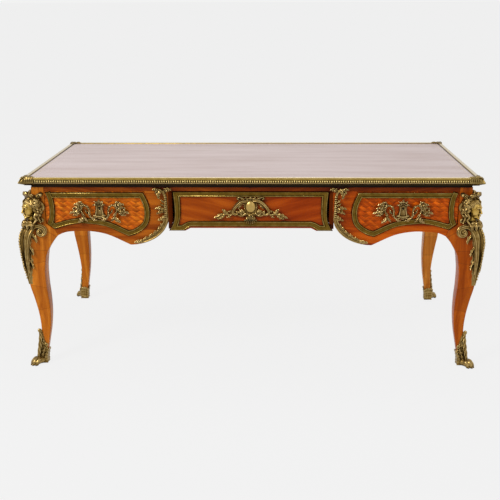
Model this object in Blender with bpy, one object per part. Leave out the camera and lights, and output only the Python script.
"""Flat writing desk: leather top, three frieze drawers, cabriole legs and bronze mounts."""
import math

import bmesh
import bpy
from mathutils import Matrix, Vector

# Driving dimensions, in metres
HEIGHT = 0.780
TOP_LENGTH = 1.780
TOP_DEPTH = 0.900
TOP_THICKNESS = 0.040
OVERHANG = 0.028
SEAT_GAP = 0.0003
RUN_GAP = 0.0015

# Top
MOULDING_WIDTH = 0.018
MOULDING_HEIGHT = 0.030
MOULDING_RISE = 0.003
LIP_SETBACK = 0.004
LEATHER_THICKNESS = 0.002
CLASP_LENGTH = 0.046
CLASP_REACH = 0.013
CLASP_RISE = 0.006

# Carcass
POST = 0.050
RAIL_HEIGHT = 0.016
RAIL_DEPTH = 0.040
APRON_THICKNESS = 0.028
APRON_STRIP = 0.035
END_APRON_DIP = 0.030
CENTRE_BAY = 0.646
CENTRE_RECESS = 0.020
STILE = 0.072
PARTITION_THICKNESS = 0.0137
RUNNER_THICKNESS = 0.0165
RUNNER_REACH = 0.128
RUNNER_LEDGE = 0.026

# Side drawer fronts, measured down from their top edge
CROWN_DROP = 0.125
CORNER_DROP = 0.130
CHAMFER_DROP = 0.152
LOWEST_DROP = 0.181
CHAMFER_WIDTH = 0.034
DRAWER_EDGE_SLANT = 0.003

# Centre drawer front
CENTRE_DROP = 0.152
FOOT_DROP = 0.163
FOOT_WIDTH = 0.065
FOOT_FLARE = 0.018

# Drawer boxes
FRONT_THICKNESS = 0.020
SIDE_THICKNESS = 0.012
BOTTOM_THICKNESS = 0.007
BOX_LENGTH = 0.560
BOX_DROP = 0.117
BOX_TOP_DROP = 0.016
GROOVE = 0.004
FRAME_WIDTH = 0.020
FRAME_THICKNESS = 0.006

# Locks
LOCK_WIDTH = 0.060
LOCK_HEIGHT = 0.046
LOCK_DEPTH = 0.012
BOLT_WIDTH = 0.020
BOLT_THICKNESS = 0.006
BOLT_LENGTH = 0.030
BOLT_TRAVEL = 0.009

# Legs: height as a share of the way from foot to shoulder, then how far the outer and
# inner faces stand from the post's axis
SHOULDER_DROP = 0.082
FOOT_HEIGHT = 0.030
LEG_PROFILE = (
    (0.000, 0.034, 0.004),
    (0.098, 0.026, -0.005),
    (0.203, 0.022, -0.013),
    (0.313, 0.027, -0.018),
    (0.423, 0.038, -0.017),
    (0.507, 0.048, -0.014),
    (0.607, 0.054, -0.013),
    (0.675, 0.056, -0.016),
    (0.738, 0.057, -0.020),
    (0.811, 0.054, -0.022),
    (0.869, 0.045, -0.024),
    (0.937, 0.030, -0.025),
    (1.000, 0.025, -0.025),
)
EAR_REACH = 0.047
EAR_STEP = 0.034

# Bronze mounts
HEAD_HEIGHT = 0.104
CHUTE_THICKNESS = 0.022
CHUTE_WIDTH = 0.031
# Leaf sections: drop below the shoulder in 1/104 of the head's height, then shares of
# the leaf's thickness and width
CHUTE_SECTIONS = (
    (288, 0.08, 0.22),
    (270, 0.15, 0.45),
    (245, 0.24, 0.74),
    (212, 0.39, 0.94),
    (175, 0.54, 1.00),
    (140, 0.69, 0.95),
    (105, 0.87, 0.87),
    (70, 1.00, 0.83),
    (40, 0.75, 0.76),
)
SABOT_THICKNESS = 0.0045
SABOT_HEIGHT = 0.162
PAW_LENGTH = 0.042
PULL_SPAN = 0.248
PULL_STANDOFF = 0.022
PULL_DROP = 0.068
CARTOUCHE_SPAN = 0.296
SCROLL_RADIUS = 0.009

CARCASS_X = TOP_LENGTH / 2 - OVERHANG
CARCASS_Y = TOP_DEPTH / 2 - OVERHANG
FRIEZE_TOP = HEIGHT - TOP_THICKNESS - SEAT_GAP
RAIL_BOTTOM = FRIEZE_TOP - RAIL_HEIGHT
DRAWER_TOP = RAIL_BOTTOM - RUN_GAP
DRAWER_OUTER = CARCASS_X - POST - RUN_GAP
DRAWER_INNER = CENTRE_BAY / 2 + STILE
BOX_BOTTOM = DRAWER_TOP - BOX_DROP
BOX_TOP = DRAWER_TOP - BOX_TOP_DROP
SHOULDER = DRAWER_TOP - SHOULDER_DROP

desk = bpy.data.collections.new("bureau_plat")
cutters = bpy.data.collections.new("cutters")


def finish(name, colour, roughness, metallic):
    material = bpy.data.materials.new(name)
    material.use_nodes = True
    shader = material.node_tree.nodes["Principled BSDF"]
    shader.inputs["Base Color"].default_value = (*colour, 1.0)
    shader.inputs["Roughness"].default_value = roughness
    shader.inputs["Metallic"].default_value = metallic
    return material


def keep(name, mesh, material):
    """Add a finished piece."""
    piece = bpy.data.objects.new(name, mesh)
    piece.data.materials.clear()
    piece.data.materials.append(material)
    desk.objects.link(piece)
    return piece


def helper(name, mesh):
    """Add a shape that only cuts or joins another piece."""
    piece = bpy.data.objects.new(name, mesh)
    piece.hide_render = True
    piece.display_type = "WIRE"
    cutters.objects.link(piece)
    return piece


def combine(piece, operation, *others):
    for other in others:
        modifier = piece.modifiers.new(other.name, "BOOLEAN")
        modifier.operation = operation
        modifier.solver = "EXACT"
        modifier.object = other
    return piece


def baked(piece):
    """The piece's mesh with its modifiers applied; the piece itself goes."""
    bpy.context.view_layer.update()
    graph = bpy.context.evaluated_depsgraph_get()
    mesh = bpy.data.meshes.new_from_object(piece.evaluated_get(graph))
    bpy.data.objects.remove(piece)
    return mesh


def box_mesh(name, low, high):
    mesh = bpy.data.meshes.new(name)
    bm = bmesh.new()
    bmesh.ops.create_cube(bm, size=1.0)
    size = [b - a for a, b in zip(low, high)]
    centre = [(a + b) / 2 for a, b in zip(low, high)]
    bmesh.ops.scale(bm, vec=size, verts=bm.verts)
    bmesh.ops.translate(bm, vec=centre, verts=bm.verts)
    bm.to_mesh(mesh)
    bm.free()
    return mesh


def box(name, low, high, material):
    return keep(name, box_mesh(name, low, high), material)


def ball_mesh(name, centre, radii, segments=14, rings=9, turn=0.0):
    mesh = bpy.data.meshes.new(name)
    bm = bmesh.new()
    bmesh.ops.create_uvsphere(bm, u_segments=segments, v_segments=rings, radius=1.0)
    bmesh.ops.scale(bm, vec=radii, verts=bm.verts)
    bmesh.ops.rotate(bm, cent=(0, 0, 0), matrix=Matrix.Rotation(turn, 3, "Z"), verts=bm.verts)
    bmesh.ops.translate(bm, vec=centre, verts=bm.verts)
    bm.to_mesh(mesh)
    bm.free()
    return mesh


def rod_mesh(name, start, end, radius_start, radius_end, segments=14):
    mesh = bpy.data.meshes.new(name)
    bm = bmesh.new()
    span = Vector(end) - Vector(start)
    bmesh.ops.create_cone(
        bm, cap_ends=True, segments=segments, radius1=radius_start, radius2=radius_end, depth=span.length
    )
    turn = span.to_track_quat("Z", "Y").to_matrix().to_4x4()
    place = Matrix.Translation((Vector(start) + Vector(end)) / 2) @ turn
    bmesh.ops.transform(bm, matrix=place, verts=bm.verts)
    bm.to_mesh(mesh)
    bm.free()
    return mesh


def loft_mesh(name, rings):
    """Skin through rings that have the same number of corners, closed at both ends."""
    mesh = bpy.data.meshes.new(name)
    bm = bmesh.new()
    rows = [[bm.verts.new(corner) for corner in ring] for ring in rings]
    count = len(rings[0])
    for below, above in zip(rows, rows[1:]):
        for i in range(count):
            j = (i + 1) % count
            bm.faces.new((below[i], below[j], above[j], above[i]))
    bm.faces.new(rows[0][::-1])
    bm.faces.new(rows[-1])
    bmesh.ops.recalc_face_normals(bm, faces=bm.faces)
    bmesh.ops.triangulate(bm, faces=bm.faces, quad_method="FIXED")
    bm.to_mesh(mesh)
    bm.free()
    return mesh


def mesh_of_curve(curve, place):
    """Mesh of a filled or bevelled curve, with its caps welded on."""
    draft = bpy.data.objects.new(curve.name, curve)
    desk.objects.link(draft)
    mesh = baked(draft)
    bpy.data.curves.remove(curve)
    bm = bmesh.new()
    bm.from_mesh(mesh)
    bmesh.ops.remove_doubles(bm, verts=bm.verts, dist=0.00002)
    bmesh.ops.recalc_face_normals(bm, faces=bm.faces)
    bmesh.ops.transform(bm, matrix=place, verts=bm.verts)
    bmesh.ops.recalc_face_normals(bm, faces=bm.faces)
    bm.to_mesh(mesh)
    bm.free()
    return mesh


def plate_mesh(name, loops, thickness, place):
    """Flat outline, with any holes, given a thickness about its own plane."""
    curve = bpy.data.curves.new(name, "CURVE")
    curve.dimensions = "2D"
    curve.fill_mode = "BOTH"
    curve.extrude = thickness / 2
    for loop in loops:
        spline = curve.splines.new("POLY")
        spline.points.add(len(loop) - 1)
        spline.use_cyclic_u = True
        for point, (u, v) in zip(spline.points, loop):
            point.co = (u, v, 0.0, 1.0)
    return mesh_of_curve(curve, place)


def front_place(y):
    """Stand an outline of x and z up at depth y."""
    return Matrix.Translation((0, y, 0)) @ Matrix.Rotation(math.radians(90), 4, "X")


def end_place(x):
    """Stand an outline of y and z up at distance x."""
    return Matrix.Translation((x, 0, 0)) @ Matrix(((0, 0, 1, 0), (1, 0, 0, 0), (0, 1, 0, 0), (0, 0, 0, 1)))


def tube_mesh(name, points, radii, thickness, resolution=2):
    """Round bar through the points; radii are shares of its half thickness."""
    curve = bpy.data.curves.new(name, "CURVE")
    curve.dimensions = "3D"
    curve.bevel_depth = thickness
    curve.bevel_resolution = resolution
    curve.use_fill_caps = True
    spline = curve.splines.new("POLY")
    spline.points.add(len(points) - 1)
    for point, co, radius in zip(spline.points, points, radii):
        point.co = (*co, 1.0)
        point.radius = radius
    return mesh_of_curve(curve, Matrix())


def through(knots, steps):
    """Smooth run of points through the knots."""
    padded = [Vector(k) for k in knots]
    padded = [2 * padded[0] - padded[1]] + padded + [2 * padded[-1] - padded[-2]]
    run = []
    for a, b, c, d in zip(padded, padded[1:], padded[2:], padded[3:]):
        for i in range(steps):
            t = i / steps
            square = (2 * a - 5 * b + 4 * c - d) * t**2
            cube = (3 * b - 3 * c + d - a) * t**3
            run.append(0.5 * (2 * b + (c - a) * t + square + cube))
    run.append(padded[-2])
    return [tuple(p) for p in run]


def arc(centre, radius_x, radius_z, start, end, steps):
    angles = [math.radians(start + (end - start) * i / steps) for i in range(steps + 1)]
    return [(centre[0] + radius_x * math.cos(a), centre[1] + radius_z * math.sin(a)) for a in angles]


def spiral(centre, start_radius, end_radius, start, turns, steps):
    """Points of a scroll that winds in to its eye."""
    points = []
    for i in range(steps + 1):
        radius = start_radius + (end_radius - start_radius) * i / steps
        angle = math.radians(start + 360 * turns * i / steps)
        points.append((centre[0] + radius * math.cos(angle), centre[1] + radius * math.sin(angle)))
    return points


def inset(loop, distance):
    """Move each side of an outline inwards by the distance; a negative one moves it outwards."""
    corners = [Vector(p) for p in loop]
    area = sum(a.x * b.y - b.x * a.y for a, b in zip(corners, corners[1:] + corners[:1]))
    turn = 1 if area > 0 else -1
    moved = []
    for before, here, after in zip(corners[-1:] + corners[:-1], corners, corners[1:] + corners[:1]):
        first = (here - before).normalized()
        second = (after - here).normalized()
        normal = Vector((-first.y - second.y, first.x + second.x)) * turn
        normal.normalize()
        slope = max(0.35, normal.dot(Vector((-first.y, first.x)) * turn))
        moved.append(tuple(here + normal * distance / slope))
    return moved


def mirrored(loop):
    return [(-x, z) for x, z in loop]


def sided(loop, side):
    return loop if side > 0 else mirrored(loop)


def side_drawer_loop():
    """Outline of the right drawer front, from its top outer corner down and round."""
    width = DRAWER_OUTER - DRAWER_INNER
    bottom = through(
        [
            (DRAWER_OUTER - CHAMFER_WIDTH, DRAWER_TOP - CHAMFER_DROP),
            (DRAWER_OUTER - 0.26 * width, DRAWER_TOP - CROWN_DROP - 0.004),
            (DRAWER_OUTER - 0.39 * width, DRAWER_TOP - CROWN_DROP),
            (DRAWER_OUTER - 0.58 * width, DRAWER_TOP - CROWN_DROP - 0.015),
            (DRAWER_INNER + 0.22 * width, DRAWER_TOP - LOWEST_DROP),
        ],
        4,
    )
    bulge = through(
        [
            (DRAWER_INNER + 0.22 * width, DRAWER_TOP - LOWEST_DROP),
            (DRAWER_INNER + 0.13 * width, DRAWER_TOP - 0.93 * LOWEST_DROP),
            (DRAWER_INNER + 0.03 * width, DRAWER_TOP - 0.66 * LOWEST_DROP),
            (DRAWER_INNER, DRAWER_TOP - 0.38 * LOWEST_DROP),
            (DRAWER_INNER + 0.055 * width, DRAWER_TOP),
        ],
        4,
    )
    outer = [(DRAWER_OUTER, DRAWER_TOP), (DRAWER_OUTER - DRAWER_EDGE_SLANT, DRAWER_TOP - CORNER_DROP)]
    return outer + bottom[:-1] + bulge


def seam():
    """Upper and lower ends of the joint between a leg's ear and the apron, from the post's inner face."""
    return (EAR_STEP, DRAWER_TOP - CHAMFER_DROP - 0.002), (EAR_REACH, DRAWER_TOP - CHAMFER_DROP - 0.026)


def apron_lower_edge():
    """Lower edge of the right block, from the leg to the top of its inner side."""
    inner_face = CARCASS_X - POST
    reach, low = seam()[1]
    width = DRAWER_OUTER - DRAWER_INNER
    lowest = DRAWER_TOP - LOWEST_DROP - APRON_STRIP
    swing = DRAWER_INNER + 0.197 * width
    edge = through(
        [
            (inner_face - reach - SEAT_GAP, low),
            (DRAWER_OUTER - 0.27 * width, DRAWER_TOP - CROWN_DROP - APRON_STRIP),
            (DRAWER_OUTER - 0.40 * width, DRAWER_TOP - CROWN_DROP - APRON_STRIP),
            (DRAWER_OUTER - 0.58 * width, DRAWER_TOP - CROWN_DROP - APRON_STRIP - 0.015),
            (swing, lowest),
        ],
        4,
    )
    sweep = arc((swing, lowest + 0.114), swing - CENTRE_BAY / 2, 0.114, 270, 180, 9)
    return edge + sweep[1:]


def front_apron_loop():
    """Right block of the frieze: the strip under the drawer and the stile beside it."""
    opening = inset(side_drawer_loop(), -RUN_GAP)
    under_drawer = opening[3:]
    under_drawer[-1] = (under_drawer[-1][0], RAIL_BOTTOM - SEAT_GAP)
    reach, top = seam()[0]
    start = (CARCASS_X - POST - reach - SEAT_GAP, top)
    inner_top = (CENTRE_BAY / 2, RAIL_BOTTOM - SEAT_GAP)
    return [start] + under_drawer + [inner_top] + apron_lower_edge()[::-1]


def back_block_loop():
    """The right block at the back, with no drawer in it."""
    face = CARCASS_X - POST - SEAT_GAP
    reach, top = seam()[0]
    head = [
        (CENTRE_BAY / 2, FRIEZE_TOP),
        (face, FRIEZE_TOP),
        (face, DRAWER_TOP - CORNER_DROP + 0.003),
        (face - reach, top + 0.001),
    ]
    return head + apron_lower_edge()


def end_apron_loop():
    face = CARCASS_Y - POST - SEAT_GAP
    reach, top = seam()[0]
    reach_low, low = seam()[1]
    middle = DRAWER_TOP - CROWN_DROP - APRON_STRIP
    half = through(
        [
            (face - reach_low, low),
            (0.72 * face, middle),
            (0.50 * face, middle - 0.2 * END_APRON_DIP),
            (0.22 * face, middle - END_APRON_DIP),
            (0.0, middle - 0.75 * END_APRON_DIP),
        ],
        4,
    )
    corner = [(face, FRIEZE_TOP), (face, DRAWER_TOP - CORNER_DROP + 0.003), (face - reach, top + 0.001)]
    right = corner + half
    return right + mirrored(right[:-1])[::-1]


def centre_drawer_loop():
    half_top = CENTRE_BAY / 2 - PARTITION_THICKNESS - RUN_GAP - 0.001
    side = through(
        [
            (half_top, DRAWER_TOP),
            (half_top - 0.007, DRAWER_TOP - 0.45 * CENTRE_DROP),
            (half_top - 0.003, DRAWER_TOP - 0.88 * CENTRE_DROP),
            (half_top + FOOT_FLARE, DRAWER_TOP - FOOT_DROP),
        ],
        4,
    )
    foot_inner = half_top + FOOT_FLARE - FOOT_WIDTH
    bottom = [(foot_inner, DRAWER_TOP - FOOT_DROP), (foot_inner - 0.021, DRAWER_TOP - CENTRE_DROP)]
    right = side + bottom
    return right + mirrored(right)[::-1]


def centre_frame_loops():
    """Outer and inner outlines of the centre drawer's bronze frame."""
    outline = inset(centre_drawer_loop(), 0.0008)
    lower_edge = DRAWER_TOP - CENTRE_DROP + 0.007
    outer = [(x, lower_edge if abs(z - (DRAWER_TOP - CENTRE_DROP)) < 0.002 else z) for x, z in outline]
    half = CENTRE_BAY / 2 - PARTITION_THICKNESS - FRAME_WIDTH - 0.012
    side = through(
        [
            (half + 0.002, DRAWER_TOP - FRAME_WIDTH),
            (half - 0.004, DRAWER_TOP - 0.5 * CENTRE_DROP),
            (half, lower_edge + FRAME_WIDTH),
        ],
        4,
    )
    return outer, side + mirrored(side)[::-1]


def smooth_profile():
    """Height, outer and inner distance down the leg, as a fine table."""
    rise = SHOULDER - FOOT_HEIGHT
    knots = [(FOOT_HEIGHT + share * rise, outer, inner) for share, outer, inner in LEG_PROFILE]
    return through(knots, 3)


def along(z, table):
    """Value at a height, from a table of heights and values."""
    if z <= table[0][0]:
        return table[0][1]
    for (z0, v0), (z1, v1) in zip(table, table[1:]):
        if z <= z1:
            return v0 + (v1 - v0) * (z - z0) / (z1 - z0)
    return table[-1][1]


def ear_profile():
    """Height, and how far the ear then reaches in from the post's axis."""
    (step, top), (reach, low) = seam()
    face = -POST / 2
    under = through(
        [
            (low - 2.13 * EAR_REACH, face + 0.19 * EAR_REACH),
            (low - 1.38 * EAR_REACH, face + 0.03 * EAR_REACH),
            (low - 0.70 * EAR_REACH, face - 0.46 * EAR_REACH),
            (low - 0.25 * EAR_REACH, face - 0.83 * EAR_REACH),
            (low, face - reach),
        ],
        2,
    )
    return under + [(top, face - step), (DRAWER_TOP - CORNER_DROP - SEAT_GAP, face)]


def leg_level(z):
    """Leg section at a height: outer and inner distance, ear tip, and the ear's front and back."""
    outer = along(z, OUTER_TABLE)
    inner = along(z, INNER_TABLE)
    edge = min(inner, along(z, EAR_TABLE)) if z > EAR_TABLE[0][0] else inner
    ear_low = seam()[1][1]
    share = min(1.0, max(0.0, (z - ear_low + 3.6 * EAR_REACH) / (3.2 * EAR_REACH)))
    blend = share * share * (3 - 2 * share)
    face = outer + (POST / 2 - outer) * blend
    back = face + (inner - face) * APRON_THICKNESS / POST
    return outer, inner, edge, face, back


def leg_ring(z, grow):
    """Section of a leg whose outward corner points to +X +Y, with its two ears."""
    outer, inner, edge, face, back = leg_level(z)
    far = outer + grow
    front = face + grow
    low = edge - grow
    rear = back - grow
    near = inner - grow
    return [(far, far, z), (low, front, z), (low, rear, z), (near, near, z), (rear, low, z), (front, low, z)]


def leg_mesh(name, grow, low, high):
    """Leg from one height to another, thicker all round by the given amount."""
    ear_heights = [z for z, _ in EAR_TABLE]
    heights = [z for z, _ in OUTER_TABLE if all(abs(z - e) > 0.13 * EAR_REACH for e in ear_heights)]
    heights = sorted(z for z in heights + ear_heights if low < z < high)
    return loft_mesh(name, [leg_ring(z, grow) for z in [low] + heights + [high]])


def front_face_at(x, z):
    """How far out the leg's front face is at a place across it."""
    outer, _, edge, face, _ = leg_level(z)
    return face + (outer - face) * min(1.0, max(0.0, (x - edge) / (outer - edge)))


def chute_ring(z, thickness, width):
    """Leaf section wrapped round the leg's outer corner."""
    outer = along(z, OUTER_TABLE)
    under = outer - min(0.35 * CHUTE_THICKNESS, 0.5 * width)
    crown = outer + thickness
    flank = (outer + 0.75 * thickness, outer - 0.55 * width)
    half = [(crown, outer + 0.25 * thickness), flank, (under, outer - width)]
    front = [(y, x) for x, y in half[::-1]]
    return [(x, y, z) for x, y in half + [(under, under)] + front]


def both_faces(name, points, radii, thickness):
    """A round bar on the leg's front face, and its twin on the end face."""
    front = helper(f"{name}_front", tube_mesh(f"{name}_front", points, radii, thickness, 1))
    twin = [(y, x, z) for x, y, z in points]
    end = helper(f"{name}_end", tube_mesh(f"{name}_end", twin, radii, thickness, 1))
    return front, end


def bust_mesh():
    """Head with full hair, neck and shoulders, a scroll on each face, and the leaf down the knee."""
    unit = HEAD_HEIGHT / 104
    rings = []
    for drop, thickness, width in CHUTE_SECTIONS:
        rings.append(chute_ring(SHOULDER - drop * unit, thickness * CHUTE_THICKNESS, width * CHUTE_WIDTH))
    bust = keep("bust", loft_mesh("bust", rings), bronze)
    parts = []
    for name, out, rise, radii in (
        ("chest", 41, -55, (24, 34, 26)),
        ("face", 33, 20, (34, 28, 39)),
        ("hair", 19, 36, (37, 46, 40)),
    ):
        centre = (out * unit, out * unit, SHOULDER + rise * unit)
        size = [r * unit for r in radii]
        parts.append(helper(name, ball_mesh(name, centre, size, 10, 7, math.radians(45))))
    roll = [(-13, 30, 60), (8, 44, 63), (38, 38, 68), (44, 8, 63), (30, -13, 60)]
    roll = through([(x * unit, y * unit, SHOULDER + rise * unit) for x, y, rise in roll], 2)
    fullness = [0.85 + 0.25 * math.sin(math.pi * i / (len(roll) - 1)) for i in range(len(roll))]
    parts.append(helper("hair_roll", tube_mesh("hair_roll", roll, fullness, 14 * unit, 1)))
    neck_foot = (37 * unit, 37 * unit, SHOULDER - 55 * unit)
    neck_top = (32 * unit, 32 * unit, SHOULDER + 5 * unit)
    parts.append(helper("neck", rod_mesh("neck", neck_foot, neck_top, 24 * unit, 19 * unit, 10)))
    sweep = through([(34, -57), (22, -39), (4, -31), (-14, -39), (-26, -58)], 2)
    eye = spiral((-13, -74), 17, 6, 128, 0.9, 7)
    path = []
    for x, rise in sweep + eye[1:]:
        z = SHOULDER + rise * unit
        path.append((x * unit, front_face_at(x * unit, z) + 6 * unit, z))
    radii = [1.15 - 0.45 * i / (len(path) - 1) for i in range(len(path))]
    parts += both_faces("volute", path, radii, 5.5 * unit)
    leaves = (
        ("upper_leaf", [(34, -72), (18, -77), (9, -90), (7, -106)]),
        ("lower_leaf", [(34, -138), (25, -146), (20, -160), (20, -174)]),
    )
    for name, knots in leaves:
        run = []
        for x, rise in knots:
            z = SHOULDER + rise * unit
            run.append((x * unit, front_face_at(x * unit, z) + 2 * unit, z))
        parts += both_faces(name, run, (0.9, 1.0, 0.9, 0.4), 6 * unit)
    combine(bust, "UNION", *parts)
    seat = leg_mesh("bust_seat", SEAT_GAP, 0.5 * SHOULDER, FRIEZE_TOP + 0.1 * POST)
    room = 2 * HEAD_HEIGHT
    inside = box_mesh("inside", (-room, -room, 0), (POST / 2 + SEAT_GAP, POST / 2 + SEAT_GAP, HEIGHT))
    combine(bust, "DIFFERENCE", helper("bust_seat", seat), helper("inside", inside))
    return baked(bust)


def sabot_mesh():
    """Paw with a leaf that climbs the leg's outer corner."""
    unit = SABOT_HEIGHT / 162
    sabot = keep("sabot", leg_mesh("sabot", SABOT_THICKNESS, 18 * unit, SABOT_HEIGHT), bronze)
    turn = math.radians(45)
    paw_size = (PAW_LENGTH, 0.72 * PAW_LENGTH, 0.70 * PAW_LENGTH)
    paw_at = 0.80 * PAW_LENGTH
    parts = [helper("paw", ball_mesh("paw", (paw_at, paw_at, 13 * unit), paw_size, 12, 7, turn))]
    for name, side in (("toe_front", -1), ("toe_middle", 0), ("toe_end", 1)):
        out = (1.28 - 0.14 * abs(side)) * PAW_LENGTH
        across = 0.33 * PAW_LENGTH * side
        centre = (out + across, out - across, 0.27 * PAW_LENGTH)
        size = (0.42 * PAW_LENGTH, 0.27 * PAW_LENGTH, 0.34 * PAW_LENGTH)
        parts.append(helper(name, ball_mesh(name, centre, size, 7, 5, turn)))
    heel_at = 0.5 * paw_at
    heel_foot = (heel_at, heel_at, 2 * unit)
    heel_top = (heel_at, heel_at, 42 * unit)
    heel = rod_mesh("heel", heel_foot, heel_top, 0.62 * PAW_LENGTH, 0.57 * PAW_LENGTH, 12)
    parts.append(helper("heel", heel))
    combine(sabot, "UNION", *parts)
    room = 2 * SABOT_HEIGHT
    below = helper("below_floor", box_mesh("below_floor", (-room, -room, -room), (room, room, 0.0)))
    socket = leg_mesh("socket", SEAT_GAP, FOOT_HEIGHT - SEAT_GAP, SABOT_HEIGHT + FOOT_HEIGHT)
    slope = bpy.data.meshes.new("slope")
    bm = bmesh.new()
    bmesh.ops.create_cube(bm, size=room)
    tilt = Matrix.Rotation(math.radians(58), 3, Vector((1, -1, 0)).normalized())
    bmesh.ops.rotate(bm, cent=(0, 0, 0), matrix=tilt, verts=bm.verts)
    hinge = Vector((8 * unit, 8 * unit, 100 * unit))
    bmesh.ops.translate(bm, vec=hinge + tilt @ Vector((0, 0, room / 2)), verts=bm.verts)
    bm.to_mesh(slope)
    bm.free()
    combine(sabot, "DIFFERENCE", below, helper("socket", socket), helper("slope", slope))
    return baked(sabot)


def clasp_mesh():
    """Corner casting of the top, made for the corner at +X +Y with the origin on the corner."""
    back = -MOULDING_WIDTH
    arm = -CLASP_LENGTH
    reach = CLASP_REACH
    loop = [
        (back, back),
        (back, arm),
        (0.35 * reach, arm),
        (0.6 * reach, 0.75 * arm),
        (0.55 * reach, 0.5 * arm),
        (0.85 * reach, 0.25 * arm),
        (0.80 * reach, 0.0),
        (reach, reach),
        (0.0, 0.80 * reach),
        (0.25 * arm, 0.85 * reach),
        (0.5 * arm, 0.55 * reach),
        (0.75 * arm, 0.6 * reach),
        (arm, 0.35 * reach),
        (arm, back),
    ]
    low = HEIGHT - MOULDING_HEIGHT
    high = HEIGHT + CLASP_RISE
    mesh = plate_mesh("clasp", [loop], high - low, Matrix.Translation((0, 0, (low + high) / 2)))
    bm = bmesh.new()
    bm.from_mesh(mesh)
    for vert in bm.verts:
        if vert.co.z < HEIGHT - 0.001 and max(vert.co.x, vert.co.y) > 0:
            vert.co.x = min(vert.co.x, 0.3 * vert.co.x)
            vert.co.y = min(vert.co.y, 0.3 * vert.co.y)
    bm.to_mesh(mesh)
    bm.free()
    return mesh


def moulding_loop():
    """Section of the edge moulding: outward distance and height."""
    low = HEIGHT - MOULDING_HEIGHT
    return [
        (-MOULDING_WIDTH, low),
        (-0.003, low),
        (-0.003, low + 0.004),
        (-0.006, low + 0.007),
        (-0.002, low + 0.010),
        (0.000, low + 0.016),
        (-0.002, low + 0.022),
        (-0.005, low + 0.024),
        (-0.001, low + 0.026),
        (-0.001, HEIGHT - 0.001),
        (-0.003, HEIGHT),
        (-MOULDING_WIDTH + 0.002, HEIGHT),
        (-MOULDING_WIDTH, HEIGHT - 0.002),
    ]


def top_pieces():
    low = HEIGHT - TOP_THICKNESS
    half_x = TOP_LENGTH / 2
    half_y = TOP_DEPTH / 2
    leather_top = HEIGHT - MOULDING_RISE
    leather_low = leather_top - LEATHER_THICKNESS
    board_x = half_x - MOULDING_WIDTH - SEAT_GAP
    board_y = half_y - MOULDING_WIDTH - SEAT_GAP
    board = box("top_board", (-board_x, -board_y, low), (board_x, board_y, leather_low - SEAT_GAP), kingwood)
    lip_x = half_x - LIP_SETBACK
    lip_y = half_y - LIP_SETBACK
    lip_top = HEIGHT - MOULDING_HEIGHT - SEAT_GAP
    lip = helper("top_lip", box_mesh("top_lip", (-lip_x, -lip_y, low), (lip_x, lip_y, lip_top)))
    combine(board, "UNION", lip)
    box("writing_leather", (-board_x, -board_y, leather_low), (board_x, board_y, leather_top), leather)
    run_x = half_x - CLASP_LENGTH - SEAT_GAP
    run_y = half_y - CLASP_LENGTH - SEAT_GAP
    profile = moulding_loop()
    for name, side in (("front", -1), ("back", 1)):
        loop = [(side * (half_y + out), z) for out, z in profile]
        keep(f"edge_moulding_{name}", plate_mesh(name, [loop], 2 * run_x, end_place(0)), bronze)
    for name, side in (("left", -1), ("right", 1)):
        loop = [(side * (half_x + out), z) for out, z in profile]
        keep(f"edge_moulding_{name}", plate_mesh(name, [loop], 2 * run_y, front_place(0)), bronze)


def corner_pieces():
    legs = leg_mesh("leg", 0.0, FOOT_HEIGHT, FRIEZE_TOP)
    busts = bust_mesh()
    sabots = sabot_mesh()
    clasps = clasp_mesh()
    corners = (("back_right", 0), ("back_left", 90), ("front_left", 180), ("front_right", 270))
    for name, angle in corners:
        turn = Matrix.Rotation(math.radians(angle), 4, "Z")
        sign = turn @ Vector((1, 1, 0))
        axis = (sign.x * (CARCASS_X - POST / 2), sign.y * (CARCASS_Y - POST / 2), 0)
        post = Matrix.Translation(axis) @ turn
        edge = Matrix.Translation((sign.x * TOP_LENGTH / 2, sign.y * TOP_DEPTH / 2, 0)) @ turn
        keep(f"leg_{name}", legs, kingwood).matrix_world = post
        keep(f"bust_{name}", busts, bronze).matrix_world = post
        keep(f"sabot_{name}", sabots, bronze).matrix_world = post
        keep(f"corner_clasp_{name}", clasps, bronze).matrix_world = edge


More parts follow.
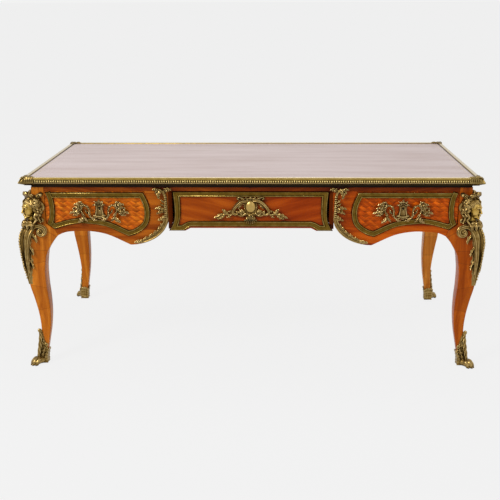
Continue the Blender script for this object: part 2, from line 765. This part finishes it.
def carcass_pieces():
    face = CARCASS_X - POST - SEAT_GAP
    front = -CARCASS_Y
    rail = box("front_rail", (-face, front, RAIL_BOTTOM), (face, front + RAIL_DEPTH, FRIEZE_TOP), kingwood)
    apron_y = front + APRON_THICKNESS / 2
    for name, side in (("left", -1), ("right", 1)):
        loop = sided(front_apron_loop(), side)
        keep(f"front_apron_{name}", plate_mesh(name, [loop], APRON_THICKNESS, front_place(apron_y)), kingwood)
        lock_x = side * lock_centre()
        bolt_y = bolt_centre()
        room = 0.002
        low = (lock_x - BOLT_WIDTH / 2 - room, bolt_y - BOLT_THICKNESS / 2 - room, RAIL_BOTTOM - 0.01)
        high = (lock_x + BOLT_WIDTH / 2 + room, bolt_y + BOLT_THICKNESS / 2 + room, RAIL_BOTTOM + BOLT_TRAVEL)
        combine(rail, "DIFFERENCE", helper(f"mortise_{name}", box_mesh(f"mortise_{name}", low, high)))
    back_y = CARCASS_Y - APRON_THICKNESS / 2
    blocks = []
    for name, side in (("left", -1), ("right", 1)):
        loop = sided(back_block_loop(), side)
        blocks.append(plate_mesh(f"back_block_{name}", [loop], APRON_THICKNESS, front_place(back_y)))
    panel_low = DRAWER_TOP - CENTRE_DROP
    panel_x = CENTRE_BAY / 2 + 0.02
    panel_back = CARCASS_Y - CENTRE_RECESS
    back = box(
        "back_apron",
        (-panel_x, panel_back - APRON_THICKNESS, panel_low),
        (panel_x, panel_back, FRIEZE_TOP),
        kingwood,
    )
    combine(back, "UNION", *[helper(mesh.name, mesh) for mesh in blocks])
    for name, side in (("left", -1), ("right", 1)):
        x = side * (CARCASS_X - APRON_THICKNESS / 2)
        apron = plate_mesh(name, [end_apron_loop()], APRON_THICKNESS, end_place(x))
        keep(f"end_apron_{name}", apron, kingwood)
    partition_pieces(panel_back - APRON_THICKNESS - SEAT_GAP)


def partition_pieces(back_face):
    """Partitions with a board that the drawers on both sides run on, and the outer runners."""
    outer = CENTRE_BAY / 2 - SEAT_GAP
    inner = CENTRE_BAY / 2 - PARTITION_THICKNESS
    front = -CARCASS_Y
    runner_top = BOX_BOTTOM - SEAT_GAP
    runner_low = runner_top - RUNNER_THICKNESS
    behind_fronts = front + CENTRE_RECESS + FRONT_THICKNESS + 0.003
    for name, side in (("left", -1), ("right", 1)):
        loop = sided(
            [
                (outer, front + 0.001),
                (inner + 0.004, front + 0.7 * CENTRE_RECESS),
                (inner, front + CENTRE_RECESS),
                (inner, back_face),
                (outer, back_face),
            ],
            side,
        )
        top = RAIL_BOTTOM - SEAT_GAP
        height = top - runner_low
        place = Matrix.Translation((0, 0, runner_low + height / 2))
        partition = keep(f"partition_{name}", plate_mesh(f"partition_{name}", [loop], height, place), oak)
        ends = sorted((side * (inner - 1.5 * RUNNER_LEDGE), side * (outer + RUNNER_REACH)))
        low = (ends[0], behind_fronts, runner_low)
        high = (ends[1], back_face, runner_top)
        combine(partition, "UNION", helper(f"ledge_{name}", box_mesh(f"ledge_{name}", low, high)))
        ends = sorted((side * (DRAWER_OUTER - RUNNER_LEDGE), side * (CARCASS_X - APRON_THICKNESS - SEAT_GAP)))
        reach = CARCASS_Y - POST - 1.2 * EAR_REACH
        box(f"runner_{name}", (ends[0], -reach, runner_low), (ends[1], reach, runner_top), oak)


def pull_height():
    return DRAWER_TOP - PULL_DROP


def lock_centre():
    return DRAWER_OUTER - 0.52 * (DRAWER_OUTER - DRAWER_INNER)


def bolt_centre():
    return -CARCASS_Y + FRONT_THICKNESS + LOCK_DEPTH / 2


def drawer_box(name, low_x, high_x, back_of_front, material):
    """Sides, back and grooved-in bottom behind a drawer front."""
    start = back_of_front + SEAT_GAP
    end = start + BOX_LENGTH
    floor = BOX_BOTTOM + 0.004
    inner_low = low_x + SIDE_THICKNESS
    inner_high = high_x - SIDE_THICKNESS
    for side, low, high in (("left", low_x, inner_low), ("right", inner_high, high_x)):
        board = box(f"drawer_{name}_{side}_side", (low, start, BOX_BOTTOM), (high, end, BOX_TOP), material)
        groove_low = inner_low - GROOVE if side == "left" else inner_high - 0.01
        groove_high = inner_low + 0.01 if side == "left" else inner_high + GROOVE
        cut = box_mesh(
            f"groove_{name}_{side}",
            (groove_low, start - 0.01, floor - SEAT_GAP),
            (groove_high, end + 0.01, floor + BOTTOM_THICKNESS + SEAT_GAP),
        )
        combine(board, "DIFFERENCE", helper(cut.name, cut))
    tongue = GROOVE - SEAT_GAP
    box(
        f"drawer_{name}_bottom",
        (inner_low - tongue, start, floor),
        (inner_high + tongue, end, floor + BOTTOM_THICKNESS),
        material,
    )
    box(
        f"drawer_{name}_back",
        (inner_low + SEAT_GAP, end - SIDE_THICKNESS, floor + BOTTOM_THICKNESS + SEAT_GAP),
        (inner_high - SEAT_GAP, end, BOX_TOP - 0.012),
        material,
    )


def side_drawer(name, side):
    loop = sided(side_drawer_loop(), side)
    front = -CARCASS_Y
    board_y = front + FRONT_THICKNESS / 2
    x = side * lock_centre()
    loops = [loop, keyhole_loop(x, pull_height())]
    board = plate_mesh(f"drawer_{name}_front", loops, FRONT_THICKNESS, front_place(board_y))
    keep(f"drawer_{name}_front", board, kingwood)
    band = [inset(loop, 0.0008), inset(loop, FRAME_WIDTH)]
    frame_y = front - SEAT_GAP - FRAME_THICKNESS / 2
    keep(f"drawer_{name}_frame", plate_mesh(name, band, FRAME_THICKNESS, front_place(frame_y)), bronze)
    ends = sorted((side * (DRAWER_OUTER - 0.011), side * (DRAWER_INNER + 0.032)))
    drawer_box(name, ends[0], ends[1], front + FRONT_THICKNESS, oak)
    lock_parts(name, x)
    keep(f"drawer_{name}_pull", pull_mesh(x, front - SEAT_GAP), bronze)


def lock_parts(name, x):
    """Lock case behind the drawer front, open at the top for its bolt."""
    front = -CARCASS_Y + FRONT_THICKNESS + SEAT_GAP
    top = DRAWER_TOP - 0.001
    case = box(
        f"lock_{name}_case",
        (x - LOCK_WIDTH / 2, front, top - LOCK_HEIGHT),
        (x + LOCK_WIDTH / 2, front + LOCK_DEPTH, top),
        iron,
    )
    y = bolt_centre()
    bolt_top = top - 0.0005
    bolt_low = bolt_top - BOLT_LENGTH
    half_x = BOLT_WIDTH / 2
    half_y = BOLT_THICKNESS / 2
    slot = box_mesh(
        f"lock_{name}_slot",
        (x - half_x - SEAT_GAP, y - half_y - SEAT_GAP, bolt_low - SEAT_GAP),
        (x + half_x + SEAT_GAP, y + half_y + SEAT_GAP, top + 0.01),
    )
    combine(case, "DIFFERENCE", helper(slot.name, slot))
    box(f"lock_{name}_bolt", (x - half_x, y - half_y, bolt_low), (x + half_x, y + half_y, bolt_top), iron)


def keyhole_loop(x, z):
    unit = PULL_SPAN / 248
    bow = arc((x, z), 3.5 * unit, 3.5 * unit, -55, 235, 8)
    return bow + [(x - 2.2 * unit, z - 12 * unit), (x + 2.2 * unit, z - 12 * unit)]


def pull_mesh(x, y):
    """Keyhole plate with a leafy scroll on each side that stands off for the fingers."""
    unit = PULL_SPAN / 248
    z = pull_height()
    half = [(0, 34), (9, 23), (25, 15), (16, 7), (17, -14), (11, -20), (20, -34)]
    outline = [(x + u * unit, z + v * unit) for u, v in half + mirrored(half[1:])[::-1]]
    depth = 0.55 * PULL_STANDOFF
    plate = plate_mesh("pull", [outline, keyhole_loop(x, z)], depth, front_place(y - depth / 2))
    pull = keep("pull", plate, bronze)
    crest = ball_mesh("pull_crest", (x, y, z + 27 * unit), (10 * unit, 16 * unit, 9 * unit), 10, 6)
    combine(pull, "UNION", helper("pull_crest", crest))
    for name, side in (("left", -1), ("right", 1)):
        knots = [
            (8, 0.45, -26),
            (24, 0.82, -32),
            (36, 1.0, -25),
            (38, 1.0, -4),
            (48, 0.95, 15),
            (64, 0.82, 17),
            (74, 0.60, 4),
            (70, 0.68, -14),
            (64, 0.82, -30),
            (70, 0.80, -45),
            (77, 0.70, -57),
        ]
        knots = [(x + side * u * unit, y - out * PULL_STANDOFF, z + v * unit) for u, out, v in knots]
        run = through(knots, 2)
        radii = [0.85 + 0.25 * math.sin(math.pi * i / (len(run) - 1)) for i in range(len(run))]
        parts = [helper(f"arm_{name}", tube_mesh(f"arm_{name}", run, radii, 4.8 * unit, 1))]
        for leaf, u, v, size in (
            ("upper", 98, 9, (24, 7, 9)),
            ("lower", 101, -12, (25, 7, 9)),
            ("knot", 78, 0, (11, 17, 11)),
        ):
            centre = (x + side * u * unit, y - 4 * unit, z + v * unit)
            name_of = f"{leaf}_leaf_{name}"
            parts.append(helper(name_of, ball_mesh(name_of, centre, [r * unit for r in size], 8, 5)))
        combine(pull, "UNION", *parts)
    span = PULL_SPAN
    wall = box_mesh("pull_seat", (x - span, y, z - span), (x + span, y + span, z + span))
    combine(pull, "DIFFERENCE", helper("pull_seat", wall))
    return baked(pull)


def cartouche_mesh(y):
    """Oval boss with a crest, a drop, and a scroll and a leaf spray to each side."""
    unit = CARTOUCHE_SPAN / 296
    z = pull_height()
    oval = ball_mesh("cartouche", (0, y, z), (22 * unit, 19 * unit, 25 * unit), 14, 8)
    boss = keep("cartouche", oval, bronze)
    for name, rise, size in (("crest", 34, (16, 11, 10)), ("drop", -38, (18, 9, 15))):
        leaf = ball_mesh(name, (0, y, z + rise * unit), [r * unit for r in size], 10, 6)
        combine(boss, "UNION", helper(name, leaf))
    runs = (
        ("crest_arm", 4.5, [(4, 34), (28, 39), (46, 36)]),
        ("scroll", 6.5, [(10, 20), (40, 25), (58, 7), (69, -12), (65, -26), (50, -28), (32, -22), (10, -12)]),
        ("spray", 4.5, [(58, -24), (80, -27), (103, -24), (125, -36), (145, -43)]),
    )
    for name, thickness, knots in runs:
        for side_name, side in (("left", -1), ("right", 1)):
            lift = 0.8 * thickness * unit
            run = through([(side * u * unit, y - lift, z + v * unit) for u, v in knots], 2)
            radii = [1.1 - 0.45 * i / (len(run) - 1) for i in range(len(run))]
            part = f"{name}_{side_name}"
            combine(boss, "UNION", helper(part, tube_mesh(part, run, radii, thickness * unit, 1)))
    span = CARTOUCHE_SPAN
    wall = box_mesh("cartouche_seat", (-span, y, z - span), (span, y + span, z + span))
    combine(boss, "DIFFERENCE", helper("cartouche_seat", wall))
    return baked(boss)


def centre_drawer():
    front = -CARCASS_Y + CENTRE_RECESS
    loop = centre_drawer_loop()
    board_y = front + FRONT_THICKNESS / 2
    board = plate_mesh("drawer_centre_front", [loop], FRONT_THICKNESS, front_place(board_y))
    keep("drawer_centre_front", board, kingwood)
    frame_y = front - SEAT_GAP - FRAME_THICKNESS / 2
    band = plate_mesh("centre_frame", centre_frame_loops(), FRAME_THICKNESS, front_place(frame_y))
    keep("drawer_centre_frame", band, bronze)
    half = CENTRE_BAY / 2 - PARTITION_THICKNESS - 0.014
    drawer_box("centre", -half, half, front + FRONT_THICKNESS, oak)
    keep("drawer_centre_cartouche", cartouche_mesh(front - SEAT_GAP), bronze)


def scroll_mounts():
    """Leaf scroll along the inner edge of each front block."""
    unit = SCROLL_RADIUS / 9
    y = -CARCASS_Y - SEAT_GAP - 0.75 * SCROLL_RADIUS
    edge = CENTRE_BAY / 2
    lower = inset(front_apron_loop(), 1.05 * SCROLL_RADIUS)
    sweep = lower[-len(apron_lower_edge()):][:10][::-1]
    head = [(10, -48), (10, -22), (17, 0), (32, 7), (48, 1), (47, -11)]
    stem = sweep[1:] + through([(edge + u * unit, RAIL_BOTTOM + v * unit) for u, v in head], 2)
    for name, side in (("left", -1), ("right", 1)):
        path = [(side * px, y, pz) for px, pz in stem]
        radii = [0.55 + 0.40 * math.sin(math.pi * min(1.0, 0.15 + i / len(path))) for i in range(len(path))]
        mount = keep("scroll", tube_mesh(f"scroll_{name}", path, radii, SCROLL_RADIUS, 1), bronze)
        parts = []
        for leaf, u, v, size in (
            ("ear", 6, 8, (15, 8, 7)),
            ("mid_leaf", 28, -70, (24, 9, 9)),
            ("low_leaf", 22, -106, (15, 10, 30)),
            ("bract", 22, -34, (9, 7, 14)),
        ):
            centre = (side * (edge + u * unit), y, RAIL_BOTTOM + v * unit)
            part = f"{leaf}_{name}"
            parts.append(helper(part, ball_mesh(part, centre, [r * unit for r in size], 8, 6)))
        combine(mount, "UNION", *parts)
        face = -CARCASS_Y - SEAT_GAP
        wall = box_mesh(f"wall_{name}", (-TOP_LENGTH, face, 0), (TOP_LENGTH, TOP_DEPTH, 2 * HEIGHT))
        combine(mount, "DIFFERENCE", helper(f"wall_{name}", wall))
        keep(f"scroll_mount_{name}", baked(mount), bronze)


for old in list(bpy.data.objects):
    bpy.data.objects.remove(old, do_unlink=True)
bpy.context.scene.collection.children.link(desk)
bpy.context.scene.collection.children.link(cutters)

kingwood = finish("kingwood_veneer", (0.36, 0.13, 0.03), 0.25, 0.0)
oak = finish("oak", (0.42, 0.27, 0.13), 0.60, 0.0)
bronze = finish("gilt_bronze", (0.72, 0.50, 0.20), 0.30, 1.0)
leather = finish("leather", (0.42, 0.28, 0.25), 0.45, 0.0)
iron = finish("iron", (0.20, 0.20, 0.21), 0.50, 1.0)

profile = smooth_profile()
OUTER_TABLE = [(z, outer) for z, outer, _ in profile] + [(FRIEZE_TOP, POST / 2)]
INNER_TABLE = [(z, inner) for z, _, inner in profile] + [(FRIEZE_TOP, -POST / 2)]
EAR_TABLE = ear_profile()

top_pieces()
corner_pieces()
carcass_pieces()
side_drawer("left", -1)
side_drawer("right", 1)
centre_drawer()
scroll_mounts()
